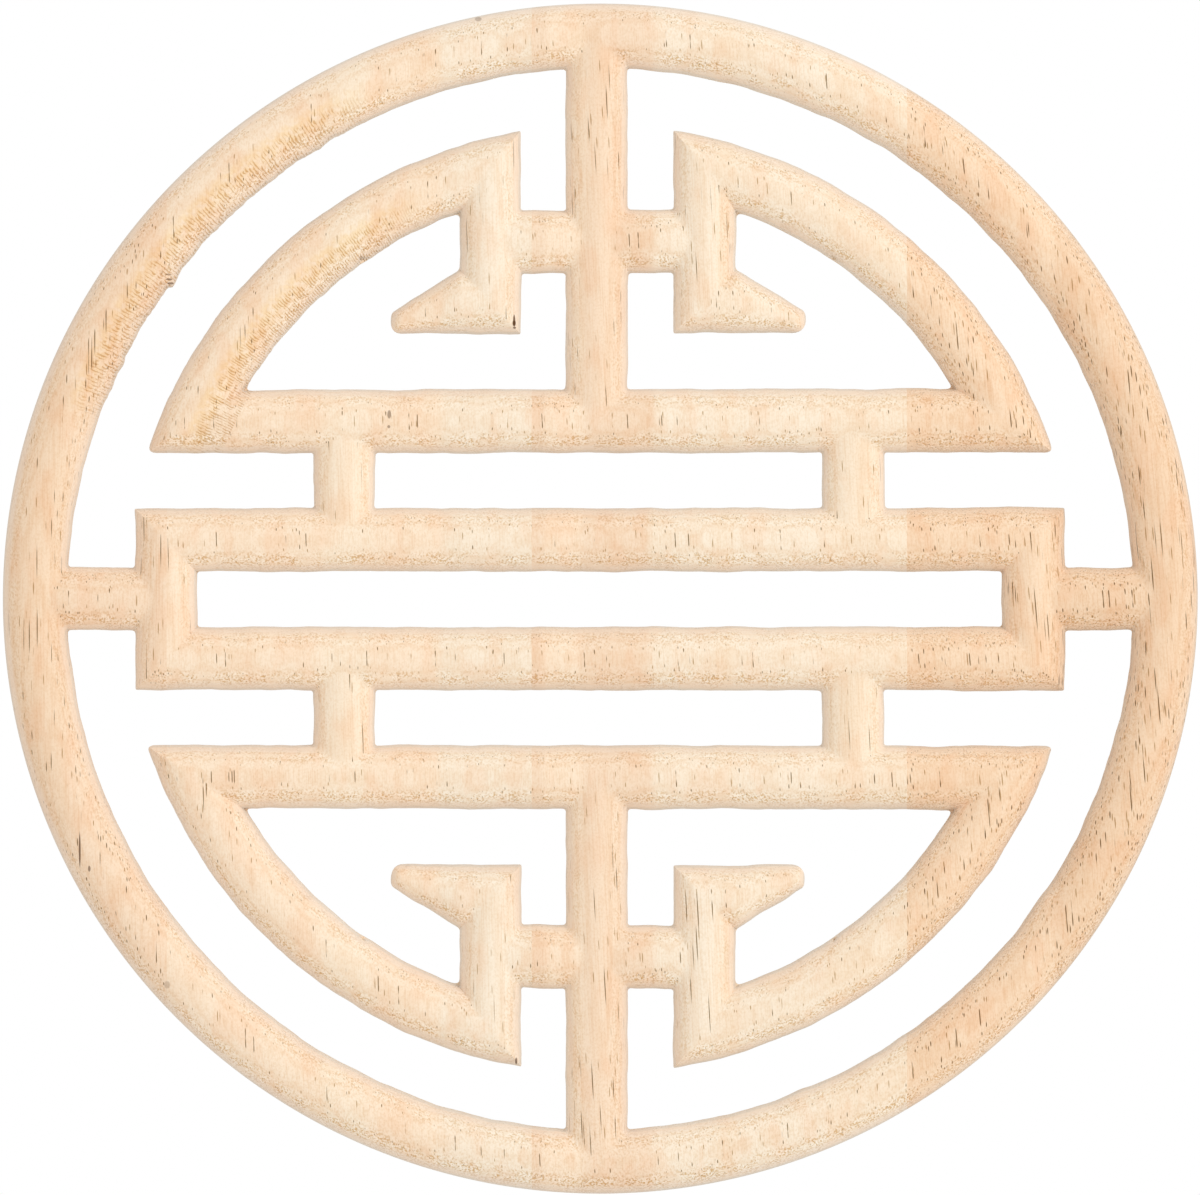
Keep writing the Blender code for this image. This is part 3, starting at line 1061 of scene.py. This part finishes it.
    def all_pores(self, end_grain):
        """The long dark vessel lines and the short fainter ones, both weaker on the end grain."""
        streak = self.noise(self.along_grain(*STREAK_SIZE), 1.0).fade(0.38, 0.62)
        share = self.pore_share * (streak + 0.45)
        seen = end_grain * -0.4 + 1
        long_pores = self.pores(*LONG_PORE_SIZE, LONG_PORE_RADIUS, share)
        short_pores = self.pores(*SHORT_PORE_SIZE, SHORT_PORE_RADIUS, share * 0.5)
        return long_pores * seen, short_pores * seen

    def pores(self, across, along, radius, share):
        """Vessel lines: slim spindles along the grain, some in each cell as the share says."""
        distance, chance = self.cells(self.along_grain(across, along, across * 3))
        widened = distance * -1 + self.pore_share * PORE_WIDENING + radius
        return widened.fade(-0.06, 0.06) * (chance - share).fade(0.03, -0.03)

    def cutter_marks(self):
        """The ribs across the torn edges, and the burnished band behind them."""
        radius = (self.x * self.x + self.z * self.z).root()
        angle = self.z.sum("ARCTAN2", self.x * -1)
        torn = angle.fade(*TEAR_START) * angle.fade(*TEAR_END) * self.to_front.above(FACING_FRONT)
        scatter = self.noise(self.scaled(RIB_SCATTER_SIZE), 1.0)
        ribs_per_radian = RING_INNER / MM * math.tau / RIB_SPACING
        wave = (angle * ribs_per_radian + scatter * RIB_SCATTER).sum("SINE")
        lines = (wave + scatter * 4 - 2).fade(0.3, 1.2)
        ribs, burnish = [], []
        for inner in (RING_INNER / MM, LUNE_INNER / MM):
            inward = radius - inner
            here = inward.above(-2.0)
            ribs.append(inward.fade(*RIB_REACH) * here)
            burnish.append(inward.fade(*BURNISH_START) * inward.fade(*BURNISH_END) * here)
        on_arc = radius.below(LUNE_OUTER / MM + 2)
        all_ribs = ribs[0].most(ribs[1] * on_arc)
        all_burnish = burnish[0].most(burnish[1])
        return all_ribs * lines * torn, all_burnish * torn * scatter.fade(0.25, 0.6)

    def voids(self):
        """The few small dark places of the face."""
        total = None
        for x, z, half_width, half_length, depth in VOIDS:
            across, along = (self.x - x) / half_width, (self.z - z) / half_length
            spot = (across * across + along * along).fade(1.3, 0.5) * depth
            total = spot if total is None else total.most(spot)
        return total * self.to_front.above(FACING_FRONT)

    def bump(self, height):
        """The fine relief of the fibres, the ribs and the speckle."""
        node = self.tree.nodes.new("ShaderNodeBump")
        node.inputs["Strength"].default_value = BUMP_STRENGTH
        node.inputs["Distance"].default_value = BUMP_DISTANCE
        self.tree.links.new(height.socket, node.inputs["Height"])
        self.tree.links.new(node.outputs[0], self.shader.inputs["Normal"])


# The camera, the light and the floor

def make_camera():
    """A camera far off and square to the front, as in the photograph."""
    data = bpy.data.cameras.new("camera")
    data.sensor_width = 36
    data.lens = data.sensor_width * CAMERA_DISTANCE / FRAME_WIDTH
    camera = bpy.data.objects.new("camera", data)
    camera.location = (CAMERA_X, -CAMERA_DISTANCE, CAMERA_Z)
    camera.rotation_euler = (math.pi / 2, 0, 0)
    bpy.context.scene.collection.objects.link(camera)
    bpy.context.scene.camera = camera


def make_light(name, place, size, power):
    """A soft square light that faces the rosette's centre."""
    data = bpy.data.lights.new(name, "AREA")
    data.size = size
    data.energy = power
    light = bpy.data.objects.new(name, data)
    light.location = place
    light.rotation_euler = (-Vector(place)).to_track_quat("-Z", "Y").to_euler()
    bpy.context.scene.collection.objects.link(light)


def make_world():
    """White to the camera, and a weaker even light for the wood."""
    world = bpy.data.worlds.new("white_room")
    world.use_nodes = True
    bpy.context.scene.world = world
    nodes, links = world.node_tree.nodes, world.node_tree.links
    path = nodes.new("ShaderNodeLightPath")
    strength = nodes.new("ShaderNodeMapRange")
    strength.inputs["To Min"].default_value = ROOM_LIGHT
    links.new(path.outputs["Is Camera Ray"], strength.inputs["Value"])
    room = nodes["Background"]
    room.inputs["Color"].default_value = (1, 1, 1, 1)
    links.new(strength.outputs["Result"], room.inputs["Strength"])


def make_floor():
    """A plain pale floor, well below the rosette."""
    bpy.ops.mesh.primitive_plane_add(size=FLOOR_SIZE, location=(0, 0, FLOOR_Z))
    floor = bpy.context.object
    floor.name = "floor"
    material = bpy.data.materials.new("pale_floor")
    material.use_nodes = True
    shader = material.node_tree.nodes["Principled BSDF"]
    shader.inputs["Base Color"].default_value = (*FLOOR_TONE, 1)
    shader.inputs["Roughness"].default_value = FLOOR_ROUGHNESS
    floor.data.materials.append(material)


make_world()
make_camera()
make_light("key", KEY_PLACE, KEY_SIZE, KEY_POWER)
make_light("fill", FILL_PLACE, FILL_SIZE, FILL_POWER)
make_floor()
bpy.context.scene.view_settings.view_transform = "Standard"

rosette = carve(make_blank(), Wood().finish())
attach(rosette, "root")
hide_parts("rosette")
